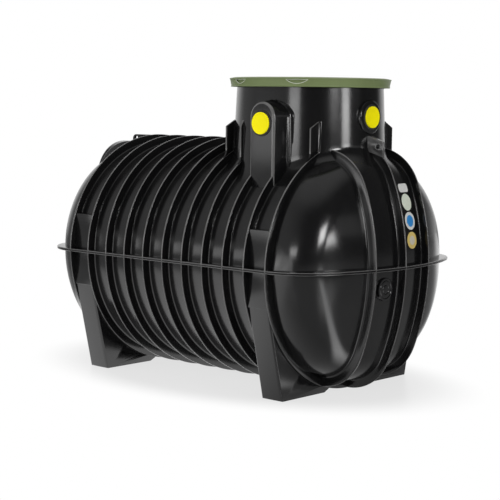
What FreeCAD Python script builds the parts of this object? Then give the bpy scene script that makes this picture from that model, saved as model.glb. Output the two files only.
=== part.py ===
# Underground rainwater tank: two ribbed half shells welded at a mid flange,
# domed ribbed ends, an access shaft with inlet housing and a round lid.
# Millimetres, +Z up, origin on the floor under the middle of the barrel,
# +X towards the end that carries the access shaft.
import math
import os

import FreeCAD
import Part

V = FreeCAD.Vector

# Barrel and ribs
RIB_PITCH = 150.0
RIB_COUNT = 11
RIB_THICK = 10.0
RIB_HEIGHT = 47.0
WALL = 8.0
HALF_WIDTH = 713.0
CROWN_RISE = 664.0
BELLY_DROP = 697.0
FLOOR_CLEAR = 3.0

# Domed ends: depth over the rib tops, knuckle radius and upright ribs
END_DEPTH = 376.0
KNUCKLE_R = 293.0
RIBS_PER_END = 3
RIB_ROOT = 3.0

# Weld flange, one plate on each half
FLANGE_THICK = 8.0

# Access shaft, a cone that stands on one ring rib
SHAFT_RING_INDEX = 2
SHAFT_R = 406.0
SHAFT_RISE = 326.0
SHAFT_DRAFT = 0.045
SHAFT_WALL = 9.0

# Lid with finger pockets in its rim
LID_LAP = 43.0
LID_TAPER = 10.0
LID_RIM = 47.0
LID_RIM_WALL = 18.0
LID_EDGE = 24.0
LID_DOME = 10.0
LID_THICK = 9.0
GRIP_WIDTH = 125.0
GRIP_HEIGHT = 33.0
GRIP_DEPTH = 9.0
GRIP_LEDGE = 7.0
GRIP_SPREAD = 25.0

# Fins that run up the shaft from the ring ribs
FRONT_FIN_INDEX = 0
MIDDLE_FIN_INDEX = 3
REAR_FIN_INDEX = 4
OUTER_FIN_REACH = 70.0
MIDDLE_FIN_REACH = 19.0
FIN_HEAD = 220.0
FIN_DROP = 36.0
FIN_TOE_R = 50.0

# Inlet housing on the long side, pipe sockets and caps
HOUSING_LAP = 3.0
HOUSING_REACH = 87.0
HOUSING_SPLAY = 0.2
HOUSING_ROUND = 12.0
INLET_HEAD = 232.0
ARCH_SPRING = 26.0
ARCH_RISE = 88.0
SOCKET_R = 69.0
SOCKET_BORE_R = 55.0
SOCKET_PROUD = 6.0
CAP_LAP = 3.5
CAP_FACE = 8.0
CAP_PLUG = 30.0
CAP_FIT = 0.5
FRONT_INLET_HEAD = 195.0
BOSS_LAP = 23.0
BOSS_PROUD = 20.0

# Lifting lugs on the middle end ribs
LUG_THICK = 14.0
LUG_STAND = 24.0
LUG_LENGTH = 86.0
LUG_SLOPE = 30.0
LUG_HOLE_RISE = 32.0
LUG_HOLE_COVER = 27.0
LUG_HOLE_EDGE = 30.0
LUG_HOLE_R = 14.0
LUG_LEVEL_COVER = 22.0
LUG_NOSE_R = 27.0

# Feet and side pads in the end bays, each before the ring rib of this index
BAY_INDEX = 1
FOOT_SETBACK = 41.0
FOOT_LEAN = 117.0
FOOT_LENGTH = 358.0
FOOT_KNEE = 200.0
FOOT_TOE_SLOPE = 0.45
FOOT_ROUND = 12.0
FOOT_SKIN = 10.0
PAD_RISE = 212.0

# Round stub on the rear end and blanked pipe spot on the front end
STUB_R = 215.0
STUB_RISE = 403.0
STUB_SINK = 56.0
STUB_SKIN = 10.0
BLANK_R = 62.0
BLANK_DROP = 109.0
BLANK_PROUD = 2.0

# Heights and positions that follow from the sizes above
FLANGE_Z = BELLY_DROP + FLOOR_CLEAR
CROWN_Z = FLANGE_Z + CROWN_RISE
SHAFT_TOP_Z = CROWN_Z + SHAFT_RISE
LID_TOP_Z = SHAFT_TOP_Z + LID_THICK
LID_Z = LID_TOP_Z - LID_RIM
FIN_TOP_Z = SHAFT_TOP_Z - FIN_HEAD
INLET_Z = SHAFT_TOP_Z - INLET_HEAD
FRONT_INLET_Z = SHAFT_TOP_Z - FRONT_INLET_HEAD
PAD_TOP_Z = FLANGE_Z + PAD_RISE
BARREL_HALF = RIB_PITCH * (RIB_COUNT - 1) / 2 + RIB_THICK / 2
INNER_DROP = RIB_HEIGHT + WALL
UPPER_SCALE = CROWN_RISE / HALF_WIDTH
LOWER_SCALE = BELLY_DROP / HALF_WIDTH
END_X = BARREL_HALF + END_DEPTH
END_RIB_PITCH = HALF_WIDTH / RIBS_PER_END
KNUCKLE_Y = HALF_WIDTH - KNUCKLE_R
CROWN_R = (END_DEPTH ** 2 + KNUCKLE_Y ** 2 - KNUCKLE_R ** 2) / (2 * (END_DEPTH - KNUCKLE_R))
LID_R = SHAFT_R + LID_LAP
LID_SKIRT_R = LID_R - LID_TAPER
HOUSING_FACE_Y = SHAFT_R + HOUSING_REACH
HOUSING_WIDTH = RIB_PITCH + RIB_THICK + 2 * HOUSING_LAP
CAP_R = SOCKET_BORE_R + CAP_LAP
BOSS_R = SOCKET_R + BOSS_LAP
FOOT_FACE_Y = HALF_WIDTH - FOOT_SETBACK
FOOT_OUT_Y = FOOT_FACE_Y - FOOT_LEAN
FOOT_IN_Y = FOOT_OUT_Y - FOOT_LENGTH
STUB_Z = FLANGE_Z + STUB_RISE
STUB_FACE_X = END_X - STUB_SINK
BLANK_Y = END_RIB_PITCH / 2
BLANK_Z = FLANGE_Z - BLANK_DROP
BLANK_FACE_X = END_X - RIB_HEIGHT + BLANK_PROUD
FAR = 4 * HALF_WIDTH

ALONG = V(1, 0, 0)
ACROSS = V(0, 1, 0)
UPRIGHT = V(0, 0, 1)
NEAR = V(0, -1, 0)
CENTRE = V(0, 0, 0)


def ring_x(i):
    return RIB_PITCH * ((RIB_COUNT - 1) / 2 - i)


SHAFT_X = ring_x(SHAFT_RING_INDEX)
HOUSING_X = SHAFT_X + RIB_PITCH / 2
BOSS_X = SHAFT_X + SHAFT_R + BOSS_PROUD
LUG_IN_X = SHAFT_X + SHAFT_R + LUG_STAND
LUG_OUT_X = LUG_IN_X + LUG_LENGTH
LUG_HOLE_X = LUG_OUT_X - LUG_HOLE_EDGE


def rib_top(x):
    """Height of the middle end rib over the knuckle at x."""
    return FLANGE_Z + UPPER_SCALE * (KNUCKLE_Y + math.sqrt(KNUCKLE_R ** 2 - (x - BARREL_HALF) ** 2))


LUG_HOLE_Z = rib_top(LUG_HOLE_X) + LUG_HOLE_RISE
LUG_OUT_Z = LUG_HOLE_Z + LUG_HOLE_COVER
LUG_IN_Z = LUG_OUT_Z + LUG_SLOPE
LUG_LEVEL_Z = LUG_HOLE_Z + LUG_LEVEL_COVER


def to_rear(shape):
    return shape.mirror(CENTRE, ALONG)


def to_far(shape):
    return shape.mirror(CENTRE, ACROSS)


def in_place(shape):
    return shape


def to_rear_far(shape):
    return to_rear(to_far(shape))


def turned_about(shape):
    """The same piece at the other end, turned half round the upright axis."""
    return shape.rotated(CENTRE, UPRIGHT, 180)


def joined(edges):
    return Part.Wire(Part.__sortEdges__(edges))


def plate(points, depth):
    """Flat outline given as points, made solid along depth."""
    return Part.Face(Part.makePolygon(points + [points[0]])).extrude(depth)


def rod(start, axis, radius, length):
    return Part.makeCylinder(radius, length, start, axis)


def end_edges(drop):
    """Crown arc and knuckle arc of the domed end, lowered by drop from the rib tops."""
    cx = END_X - CROWN_R
    tilt = math.atan2(KNUCKLE_Y, BARREL_HALF - cx)
    square = math.pi / 2
    big = CROWN_R - drop
    small = KNUCKLE_R - drop

    def on_crown(a):
        return V(cx + big * math.cos(a), big * math.sin(a), 0)

    def on_knuckle(a):
        return V(BARREL_HALF + small * math.cos(a), KNUCKLE_Y + small * math.sin(a), 0)

    crown = Part.Arc(on_crown(0), on_crown(tilt / 2), on_crown(tilt)).toShape()
    knuckle = Part.Arc(on_crown(tilt), on_knuckle((tilt + square) / 2), on_knuckle(square)).toShape()
    return [crown, knuckle]


def half_turn(wire, upper):
    """Turn a profile half round the X axis, press it to the half's height, set it on the flange plane."""
    body = Part.Face(wire).revolve(CENTRE, ALONG, 180)
    if not upper:
        body.rotate(CENTRE, ALONG, 180)
    press = FreeCAD.Matrix()
    press.scale(1, 1, UPPER_SCALE if upper else LOWER_SCALE)
    body = body.transformGeometry(press)
    body.translate(V(0, 0, FLANGE_Z))
    return body


def end_band(outer_drop, inner_drop):
    """Closed profile of the front end between two depths under the rib tops."""
    outer = end_edges(outer_drop)
    inner = end_edges(inner_drop)
    side_out = V(BARREL_HALF, HALF_WIDTH - outer_drop, 0)
    side_in = V(BARREL_HALF, HALF_WIDTH - inner_drop, 0)
    tip_out = V(END_X - outer_drop, 0, 0)
    tip_in = V(END_X - inner_drop, 0, 0)
    return joined(outer + inner + [Part.makeLine(side_out, side_in), Part.makeLine(tip_in, tip_out)])


def envelope(drop, upper):
    """Solid half tank with its outside drop under the rib tops."""
    front = end_edges(drop)
    y = HALF_WIDTH - drop
    side = Part.makeLine(V(-BARREL_HALF, y, 0), V(BARREL_HALF, y, 0))
    axis = Part.makeLine(V(drop - END_X, 0, 0), V(END_X - drop, 0, 0))
    return half_turn(joined(front + [to_rear(e) for e in front] + [side, axis]), upper)


def barrel_half(upper):
    """Wall with all ring ribs, turned from one comb profile."""
    wall_y = HALF_WIDTH - RIB_HEIGHT
    inner_y = HALF_WIDTH - INNER_DROP
    points = [V(-BARREL_HALF, inner_y, 0)]
    for i in reversed(range(RIB_COUNT)):
        a = ring_x(i) - RIB_THICK / 2
        b = ring_x(i) + RIB_THICK / 2
        points += [V(a, wall_y, 0), V(a, HALF_WIDTH, 0), V(b, HALF_WIDTH, 0), V(b, wall_y, 0)]
    points.append(V(BARREL_HALF, inner_y, 0))
    return half_turn(Part.makePolygon(points + [points[0]]), upper)


def end_slabs():
    """Upright slabs in which the ribs of an end lie, side by side across the tank."""
    middle = (RIBS_PER_END - 1) / 2
    places = [(k - middle) * END_RIB_PITCH for k in range(RIBS_PER_END)]
    low = -RIB_THICK / 2
    return [Part.makeBox(2 * FAR, RIB_THICK, 2 * FAR, V(-FAR, y + low, -FAR)) for y in places]


def end_shell(upper, flange):
    """Front end of one half: dome whose upright ribs follow its crown and knuckle down to the flange."""
    dome = half_turn(end_band(RIB_HEIGHT, INNER_DROP), upper)
    band = half_turn(end_band(0, RIB_HEIGHT + RIB_ROOT), upper).cut(flange)
    return dome.fuse([band.common(slab) for slab in end_slabs()])


def plan_face(drop):
    """Plan outline of the tank, drop inside the rib tops."""
    quarter = end_edges(drop)
    end = quarter + [to_far(e) for e in quarter]
    y = HALF_WIDTH - drop
    sides = [Part.makeLine(V(-BARREL_HALF, s * y, 0), V(BARREL_HALF, s * y, 0)) for s in (-1, 1)]
    return Part.Face(joined(end + [to_rear(e) for e in end] + sides))


def flange_plate(low):
    ring = plan_face(0).cut(plan_face(RIB_HEIGHT))
    ring.translate(V(0, 0, low))
    return ring.extrude(V(0, 0, FLANGE_THICK))


def shaft_radius(z):
    return SHAFT_R + SHAFT_DRAFT * (SHAFT_TOP_Z - z)


def shaft_cone(inset):
    """Cone of the shaft, wider downwards, from the flange plane to the shaft top."""
    wide = shaft_radius(FLANGE_Z) - inset
    return Part.makeCone(wide, SHAFT_R - inset, SHAFT_TOP_Z - FLANGE_Z, V(SHAFT_X, 0, FLANGE_Z), UPRIGHT)


def housing_arch(half, y, inset):
    """Outline of the inlet housing at y, half wide each way, with an arched top."""
    spring = INLET_Z + ARCH_SPRING
    foot_a = V(HOUSING_X - half, y, FLANGE_Z)
    foot_b = V(HOUSING_X + half, y, FLANGE_Z)
    side_a = V(HOUSING_X - half, y, spring)
    side_b = V(HOUSING_X + half, y, spring)
    arch = Part.Arc(side_a, V(HOUSING_X, y, spring + ARCH_RISE - inset), side_b).toShape()
    sides = [Part.makeLine(foot_a, side_a), Part.makeLine(side_b, foot_b)]
    return joined(sides + [arch, Part.makeLine(foot_b, foot_a)])


def housing_block(inset):
    """Inlet housing set back by inset on every side, its sides splayed towards the shaft."""
    half = HOUSING_WIDTH / 2 - inset
    y = inset - HOUSING_FACE_Y
    wide = half - HOUSING_SPLAY * y
    return Part.makeLoft([housing_arch(half, y, inset), housing_arch(wide, 0, inset)], True, True)


def eased(body, radius, chosen):
    """The body with the edges that chosen picks rounded off."""
    return body.makeFillet(radius, [edge for edge in body.Edges if chosen(edge.BoundBox)])


def on_housing_rim(box):
    return box.YMax < -HOUSING_FACE_Y + HOUSING_ROUND and box.ZMax > INLET_Z


def socket(start, axis):
    body = rod(start, axis, SOCKET_R, SOCKET_PROUD)
    return body.cut(rod(start, axis, SOCKET_BORE_R, SOCKET_PROUD))


def cap(start, axis):
    """Plug with a rim that sits on the socket."""
    rim = rod(start + axis * SOCKET_PROUD, axis, CAP_R, CAP_FACE)
    plug = rod(start - axis * CAP_PLUG, axis, SOCKET_BORE_R - CAP_FIT, CAP_PLUG + SOCKET_PROUD)
    return rim.fuse(plug).removeSplitter()


def fin(ring, reach):
    """Upright plate on a ring rib, beside the shaft, with a slanted top and a curved toe on the rib."""
    x = ring_x(ring) - RIB_THICK / 2
    shoulder = FIN_TOP_Z - FIN_DROP
    root = math.sqrt(shaft_radius(shoulder) ** 2 - (ring_x(ring) - SHAFT_X) ** 2)
    y = root + reach
    level = math.sqrt(HALF_WIDTH ** 2 - y ** 2)
    turn = math.atan2(level, UPPER_SCALE * y)
    toe_z = FLANGE_Z + UPPER_SCALE * level + FIN_TOE_R * math.tan(turn / 2)

    def on_toe(a):
        return V(x, FIN_TOE_R * (math.cos(a) - 1) - y, toe_z - FIN_TOE_R * math.sin(a))

    toe = on_toe(turn)
    points = [toe, V(x, toe.y, FLANGE_Z), V(x, 0, FLANGE_Z), V(x, 0, FIN_TOP_Z)]
    points += [V(x, -root, FIN_TOP_Z), V(x, -y, shoulder), on_toe(0)]
    sides = [Part.makeLine(a, b) for a, b in zip(points, points[1:])]
    curve = Part.Arc(on_toe(0), on_toe(turn / 2), toe).toShape()
    return Part.Face(joined(sides + [curve])).extrude(V(RIB_THICK, 0, 0))


def lug_hole():
    return rod(V(LUG_HOLE_X, -LUG_THICK / 2, LUG_HOLE_Z), ACROSS, LUG_HOLE_R, LUG_THICK)


def sloped_lug():
    """Lifting plate on the front middle rib, from the shaft down to the drilled nose."""
    y = -LUG_THICK / 2
    points = [V(SHAFT_X, y, FLANGE_Z), V(SHAFT_X, y, LUG_IN_Z), V(LUG_IN_X, y, LUG_IN_Z)]
    points += [V(LUG_OUT_X, y, LUG_OUT_Z), V(LUG_OUT_X, y, FLANGE_Z)]
    return plate(points, V(0, LUG_THICK, 0)).cut(lug_hole())


def on_lug_nose(box):
    return box.XMin > LUG_OUT_X - RIB_ROOT and box.ZMin > LUG_LEVEL_Z - RIB_ROOT


def level_lug():
    """Lifting plate with a level top and a round nose, for the rear middle rib."""
    y = -LUG_THICK / 2
    start = V(BARREL_HALF, y, FLANGE_Z)
    block = Part.makeBox(LUG_OUT_X - BARREL_HALF, LUG_THICK, LUG_LEVEL_Z - FLANGE_Z, start)
    return eased(block, LUG_NOSE_R, on_lug_nose).cut(lug_hole())


def foot_block(skin):
    """Foot in the first bay on the near side, set in by skin, with a leaning face and a sloped toe."""
    x = ring_x(BAY_INDEX) + RIB_THICK / 2 + skin
    top = FLANGE_Z - FLANGE_THICK
    inner = FOOT_IN_Y + skin
    face = skin - FOOT_FACE_Y
    points = [V(x, -inner, skin), V(x, skin - FOOT_OUT_Y, skin), V(x, face, FLANGE_Z - FOOT_KNEE)]
    points += [V(x, face, top), V(x, 0, top), V(x, 0, skin + FOOT_TOE_SLOPE * inner)]
    return plate(points, V(RIB_PITCH - RIB_THICK - 2 * skin, 0, 0))


def on_foot_face(box):
    return box.YMax < FOOT_ROUND - FOOT_OUT_Y and box.ZMin < FLANGE_Z - FOOT_KNEE + FOOT_ROUND


def side_pad():
    """Flat pad in the first bay on the near side, standing on the flange."""
    low = FLANGE_Z + FLANGE_THICK
    start = V(ring_x(BAY_INDEX) + RIB_THICK / 2, -FOOT_FACE_Y, low)
    return Part.makeBox(RIB_PITCH - RIB_THICK, FOOT_FACE_Y, PAD_TOP_Z - low, start)


def grip(angle):
    """Half moon finger pocket in the lid rim, straight edge up, facing angle from the long axis."""
    chord = GRIP_WIDTH / 2
    radius = (chord ** 2 + GRIP_HEIGHT ** 2) / (2 * GRIP_HEIGHT)
    ledge = LID_TOP_Z - GRIP_LEDGE
    floor_x = LID_SKIRT_R - GRIP_DEPTH
    moon = rod(V(floor_x, 0, ledge - GRIP_HEIGHT + radius), ALONG, radius, LID_R)
    moon = moon.common(Part.makeBox(LID_R, 2 * chord, GRIP_HEIGHT, V(floor_x, -chord, ledge - GRIP_HEIGHT)))
    moon.rotate(CENTRE, UPRIGHT, angle)
    return moon


def lid():
    """Round lid with a tapered rim, a shallow dome and a pair of pockets on each long side."""
    inner = LID_SKIRT_R - LID_RIM_WALL
    points = [V(LID_SKIRT_R, 0, LID_Z), V(LID_R, 0, LID_TOP_Z)]
    points += [V(LID_R - LID_EDGE, 0, LID_TOP_Z + LID_DOME / 2), V(0, 0, LID_TOP_Z + LID_DOME)]
    points += [V(0, 0, SHAFT_TOP_Z), V(inner, 0, SHAFT_TOP_Z), V(inner, 0, LID_Z)]
    body = Part.Face(Part.makePolygon(points + [points[0]])).revolve(CENTRE, UPRIGHT, 360)
    body = body.cut([grip(side * 90 + turn) for side in (-1, 1) for turn in (-GRIP_SPREAD, GRIP_SPREAD)])
    body.translate(V(SHAFT_X, 0, 0))
    return body


upper_wall = envelope(RIB_HEIGHT, True)
upper_tips = envelope(0, True)
lower_wall = envelope(RIB_HEIGHT, False)
shaft_body = shaft_cone(0)
housing = eased(housing_block(0), HOUSING_ROUND, on_housing_rim)
upper_flange = flange_plate(FLANGE_Z)
lower_flange = flange_plate(FLANGE_Z - FLANGE_THICK)
upper_end = end_shell(True, upper_flange)
lower_end = end_shell(False, lower_flange)

nodes = {}
nodes["upper_flange"] = upper_flange
nodes["lower_flange"] = lower_flange
nodes["upper_barrel"] = barrel_half(True).cut([shaft_body, housing.cut(upper_wall), upper_flange])
nodes["lower_barrel"] = barrel_half(False).cut(lower_flange)
nodes["upper_front_end"] = upper_end.cut(shaft_body)
nodes["upper_rear_end"] = turned_about(upper_end)
nodes["lower_front_end"] = lower_end
nodes["lower_rear_end"] = turned_about(lower_end)

front_axis = V(SHAFT_X, 0, FRONT_INLET_Z)
front_bore = rod(front_axis, ALONG, SOCKET_BORE_R, FAR)
shaft = shaft_body.cut([shaft_cone(SHAFT_WALL), envelope(INNER_DROP, True), front_bore])
nodes["access_shaft"] = shaft
nodes["front_boss"] = rod(front_axis, ALONG, BOSS_R, BOSS_X - SHAFT_X).cut([shaft_body, front_bore])

side_bore = rod(V(HOUSING_X, 0, INLET_Z), NEAR, SOCKET_BORE_R, FAR)
nodes["inlet_housing"] = housing.cut([housing_block(SHAFT_WALL), shaft_body, upper_wall, side_bore])
nodes["lid"] = lid()

front_fin = fin(FRONT_FIN_INDEX, OUTER_FIN_REACH)
middle_fin = fin(MIDDLE_FIN_INDEX, MIDDLE_FIN_REACH)
rear_fin = fin(REAR_FIN_INDEX, OUTER_FIN_REACH)
for tag, body in (("front", front_fin), ("middle", middle_fin), ("rear", rear_fin)):
    seated = body.cut([shaft_body, upper_tips])
    nodes["fin_near_" + tag] = seated
    nodes["fin_far_" + tag] = to_far(seated)

side_face = V(HOUSING_X, -HOUSING_FACE_Y, INLET_Z)
front_face = V(BOSS_X, 0, FRONT_INLET_Z)
nodes["side_socket"] = socket(side_face, NEAR)
nodes["side_cap"] = cap(side_face, NEAR)
nodes["front_socket"] = socket(front_face, ALONG)
nodes["front_cap"] = cap(front_face, ALONG)

rear_plate = level_lug()
nodes["front_lug"] = sloped_lug().cut([shaft_body, upper_tips, nodes["front_boss"]])
nodes["rear_lug"] = to_rear(rear_plate.cut(upper_tips))

foot = eased(foot_block(0), FOOT_ROUND, on_foot_face)
foot = foot.cut([foot_block(FOOT_SKIN), lower_wall])
pad = side_pad().cut(upper_wall)
near_corners = [("front_near", in_place), ("rear_near", to_rear)]
far_corners = [("front_far", to_far), ("rear_far", to_rear_far)]
for tag, placed in near_corners + far_corners:
    nodes["foot_" + tag] = placed(foot)
    nodes["pad_" + tag] = placed(pad)

stub_axis = V(0, 0, STUB_Z)
stub = rod(stub_axis, ALONG, STUB_R, STUB_FACE_X)
stub = stub.cut(rod(stub_axis, ALONG, STUB_R - STUB_SKIN, STUB_FACE_X - STUB_SKIN))
end_ribs = [slab.common(upper_tips) for slab in end_slabs()]
nodes["rear_stub"] = to_rear(stub.cut([upper_wall, rear_plate] + end_ribs))
blank = rod(V(0, -BLANK_Y, BLANK_Z), ALONG, BLANK_R, BLANK_FACE_X)
nodes["front_blank"] = blank.cut(lower_wall)

os.makedirs("parts", exist_ok=True)
for name, shape in nodes.items():
    shape.exportStep("parts/" + name + ".step")
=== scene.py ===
import math

import bmesh
import bpy
from bpy.props import FloatProperty, FloatVectorProperty, IntProperty, PointerProperty
from mathutils import Matrix, Vector


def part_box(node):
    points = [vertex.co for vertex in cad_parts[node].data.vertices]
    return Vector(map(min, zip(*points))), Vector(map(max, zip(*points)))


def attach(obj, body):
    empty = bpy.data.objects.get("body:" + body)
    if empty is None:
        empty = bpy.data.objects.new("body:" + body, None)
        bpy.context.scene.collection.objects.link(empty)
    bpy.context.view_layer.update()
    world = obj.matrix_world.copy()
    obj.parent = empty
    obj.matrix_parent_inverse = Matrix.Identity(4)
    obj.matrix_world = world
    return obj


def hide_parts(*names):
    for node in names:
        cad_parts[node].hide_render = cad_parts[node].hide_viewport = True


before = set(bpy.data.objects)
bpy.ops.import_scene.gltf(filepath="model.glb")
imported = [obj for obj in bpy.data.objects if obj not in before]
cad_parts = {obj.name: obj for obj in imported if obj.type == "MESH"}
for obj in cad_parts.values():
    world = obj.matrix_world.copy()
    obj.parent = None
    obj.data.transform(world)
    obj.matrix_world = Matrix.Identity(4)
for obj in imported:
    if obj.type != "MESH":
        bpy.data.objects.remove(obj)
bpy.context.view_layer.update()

bl_info = {
    "name": "Rainwater Tank",
    "version": (1, 0, 0),
    "blender": (4, 5, 0),
    "location": "View3D > Sidebar > Tank",
    "description": "Ribbed underground rainwater tank with access shaft, lid and inlets",
    "category": "Add Mesh",
}

ORIGIN = Vector((0, 0, 0))
ALONG = Vector((1, 0, 0))
ACROSS = Vector((0, 1, 0))
UPRIGHT = Vector((0, 0, 1))
FULL_TURN = 2 * math.pi
TINY = 1e-6
WELD = 1e-5


def low(node):
    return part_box(node)[0]


def high(node):
    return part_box(node)[1]


def middle_of(node):
    return (low(node) + high(node)) / 2


FLANGE_Z = low("upper_flange").z
HALF_WIDTH = high("lower_barrel").y
UPPER_SQUEEZE = (high("upper_barrel").z - FLANGE_Z) / HALF_WIDTH
LOWER_SQUEEZE = (FLANGE_Z - low("lower_barrel").z) / HALF_WIDTH
BARREL_HALF = high("lower_barrel").x
END_X = high("lower_flange").x
LID_MIDDLE = middle_of("lid")
LID_R = high("lid").y
SHAFT_TOP = high("access_shaft").z

# Each half: whether it is the upper one, its name, and how strongly its rib tips take the paler edge tone, a
# painted highlight with some wear, stronger on the upper half where the light falls.
HALVES = ((True, "upper", 1.0), (False, "lower", 0.45))
CORNERS = ("front_near", "front_far", "rear_near", "rear_far")


class TankSizes(bpy.types.PropertyGroup):
    """Sizes of the tank's shell and fittings."""

    rib_count: IntProperty(name="Ring Ribs", description="Ring ribs along the barrel", default=11, min=2)
    rib_height: FloatProperty(
        name="Rib Height", description="Rib tip above the wall", default=0.047, unit="LENGTH")
    rib_thick: FloatProperty(
        name="Rib Thickness", description="Width of a rib", default=0.010, unit="LENGTH")
    rib_round: FloatProperty(
        name="Rib Tip Round", description="Rounding of a rib tip", default=0.0040, unit="LENGTH")
    rib_fillet: FloatProperty(
        name="Rib Fillet", description="Fillet at a rib root", default=0.008, unit="LENGTH")
    rib_draft: FloatProperty(
        name="Rib Draft", description="Widening of a rib's side to its root", default=0.003, unit="LENGTH")
    wall: FloatProperty(name="Wall", description="Wall of the shell", default=0.008, unit="LENGTH")
    knuckle: FloatProperty(
        name="Knuckle", description="Knuckle radius of an end", default=0.293, unit="LENGTH")
    end_rib_pitch: FloatProperty(
        name="End Rib Pitch", description="Spacing of the upright end ribs", default=HALF_WIDTH / 3,
        unit="LENGTH")
    shaft_radius: FloatProperty(
        name="Shaft Radius", description="Shaft at its top", default=0.406, unit="LENGTH")
    shaft_draft: FloatProperty(
        name="Shaft Draft", description="Widening of the shaft downwards", default=0.045)
    shaft_fillet: FloatProperty(
        name="Shaft Fillet", description="Fillet at the shaft's base", default=0.052, unit="LENGTH")
    lug_draft: FloatProperty(
        name="Lug Draft", description="Slope of the front lug's sides, thicker at the shaft", default=0.15)
    upper_plump: FloatProperty(
        name="Upper Plump", description="Swell of the upper outer end bays", default=0.008, unit="LENGTH")
    lower_plump: FloatProperty(
        name="Lower Plump", description="Swell of the lower outer end bays", default=0.015, unit="LENGTH")
    turn_steps: IntProperty(name="Turn Steps", description="Steps in a half turn", default=112, min=24)


class TankColours(bpy.types.PropertyGroup):
    """Colours of the tank's finishes."""

    shell: FloatVectorProperty(
        name="Shell", description="Black plastic", subtype="COLOR", size=4,
        default=(0.0045, 0.0045, 0.0048, 1))
    dust: FloatVectorProperty(
        name="Dust", description="Dry dust on the shell", subtype="COLOR", size=4,
        default=(0.085, 0.080, 0.074, 1))
    # Paler edge tone: a painted highlight along edges, with some wear.
    wear_and_highlight_tone: FloatVectorProperty(
        name="Worn Edge", description="Paler plastic along rubbed edges", subtype="COLOR", size=4,
        default=(0.135, 0.133, 0.132, 1))
    lid: FloatVectorProperty(
        name="Lid", description="Green lid", subtype="COLOR", size=4, default=(0.165, 0.210, 0.090, 1))
    cap: FloatVectorProperty(
        name="Cap", description="Yellow pipe cap", subtype="COLOR", size=4, default=(0.97, 0.86, 0.002, 1))
    seal: FloatVectorProperty(
        name="Seal", description="Rubber seal", subtype="COLOR", size=4, default=(0.008, 0.008, 0.008, 1))


class Wire:
    """A shader socket whose arithmetic adds Math nodes to its tree."""

    def __init__(self, tree, socket=None):
        self.tree = tree
        self.socket = socket

    def node(self, kind, settings=None, sockets=None, out=0):
        """Add a node of this kind with its settings and the values or links of its sockets."""
        made = self.tree.nodes.new(kind)
        for key, value in (settings or {}).items():
            setattr(made, key, value)
        for key, value in (sockets or {}).items():
            if isinstance(value, Wire):
                self.tree.links.new(value.socket, made.inputs[key])
            else:
                made.inputs[key].default_value = value
        return Wire(self.tree, made.outputs[out] if made.outputs else None)

    def math(self, operation, first, second):
        return self.node("ShaderNodeMath", {"operation": operation}, {0: first, 1: second})

    def __add__(self, other):
        return self.math("ADD", self, other)

    __radd__ = __add__

    def __sub__(self, other):
        return self.math("SUBTRACT", self, other)

    def __rsub__(self, other):
        return self.math("SUBTRACT", other, self)

    def __mul__(self, other):
        return self.math("MULTIPLY", self, other)

    __rmul__ = __mul__

    def __truediv__(self, other):
        return self.math("DIVIDE", self, other)

    def __rtruediv__(self, other):
        return self.math("DIVIDE", other, self)

    def mixed(self, first, second):
        """Colour between first and second, by this factor."""
        return self.node("ShaderNodeMix", {"data_type": "RGBA"}, {0: self, 6: first, 7: second}, out=2)

    def between(self, start, end):
        """This value spread from start to end onto 0 to 1, smoothly."""
        settings = {"interpolation_type": "SMOOTHSTEP"}
        return self.node("ShaderNodeMapRange", settings, {0: self, 1: start, 2: end, 3: 0.0, 4: 1.0})


def finish_tree(name):
    """An empty material and a wire to build its nodes with."""
    material = bpy.data.materials.new(name)
    material.use_nodes = True
    material.node_tree.nodes.clear()
    return material, Wire(material.node_tree)


def surface(wire, shader):
    wire.node("ShaderNodeOutputMaterial", sockets={"Surface": shader})


def noise(wire, place, scale, detail=3.0, roughness=0.5):
    sockets = {"Vector": place, "Scale": scale, "Detail": detail, "Roughness": roughness}
    return wire.node("ShaderNodeTexNoise", {}, sockets)


def scaled(colour, share):
    """A colour at a share of its brightness."""
    return [c * share for c in colour[:3]] + [1]


def moulded_plastic(name, colour, dust, wear_and_highlight_tone, dust_share, rough, spec, peel):
    """Rotomoulded plastic: mottling, settled dust, a paler tone along marked edges that is a painted
    highlight with some wear, soft waves and orange peel.
    """
    material, wire = finish_tree(name)
    place = wire.node("ShaderNodeTexCoord", out=3)
    facing = wire.node("ShaderNodeNewGeometry", out=1)
    up = wire.node("ShaderNodeSeparateXYZ", {}, {0: facing}, out=2)
    broad = noise(wire, place, scale=2.3, detail=4.0)
    patches = noise(wire, place, scale=11.0, detail=5.0, roughness=0.6)
    grain = noise(wire, place, scale=260.0, detail=2.0)
    ripple = noise(wire, place, scale=7.0, detail=1.0)
    settled = up.between(0.1, 1.0) * patches.between(0.35, 0.75) * dust_share
    film = broad.between(0.45, 0.8) * (dust_share * 0.35)
    veil = settled + film
    # Marked points take the paler edge tone: a painted highlight, with some wear.
    wear_and_highlight = wire.node("ShaderNodeAttribute", {"attribute_name": "wear_and_highlight"}, out=2)
    wear_and_highlight_share = wear_and_highlight * (patches * 0.9 + 0.35)
    mottled = (broad * 0.5 + patches * 0.5).mixed(scaled(colour, 0.8), scaled(colour, 1.25))
    shade = wear_and_highlight_share.mixed(veil.mixed(mottled, dust), wear_and_highlight_tone)
    gloss = (patches - 0.5) * 0.10 + (broad - 0.5) * 0.08 + veil * 0.35 + rough
    height = grain * peel + ripple * 0.012 + patches * 0.0012
    bump = wire.node("ShaderNodeBump", {}, {"Strength": 0.3, "Distance": 0.02, "Height": height})
    sockets = {"Base Color": shade, "Roughness": gloss, "Specular IOR Level": spec, "Normal": bump}
    surface(wire, wire.node("ShaderNodeBsdfPrincipled", {}, sockets))
    return material


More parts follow.
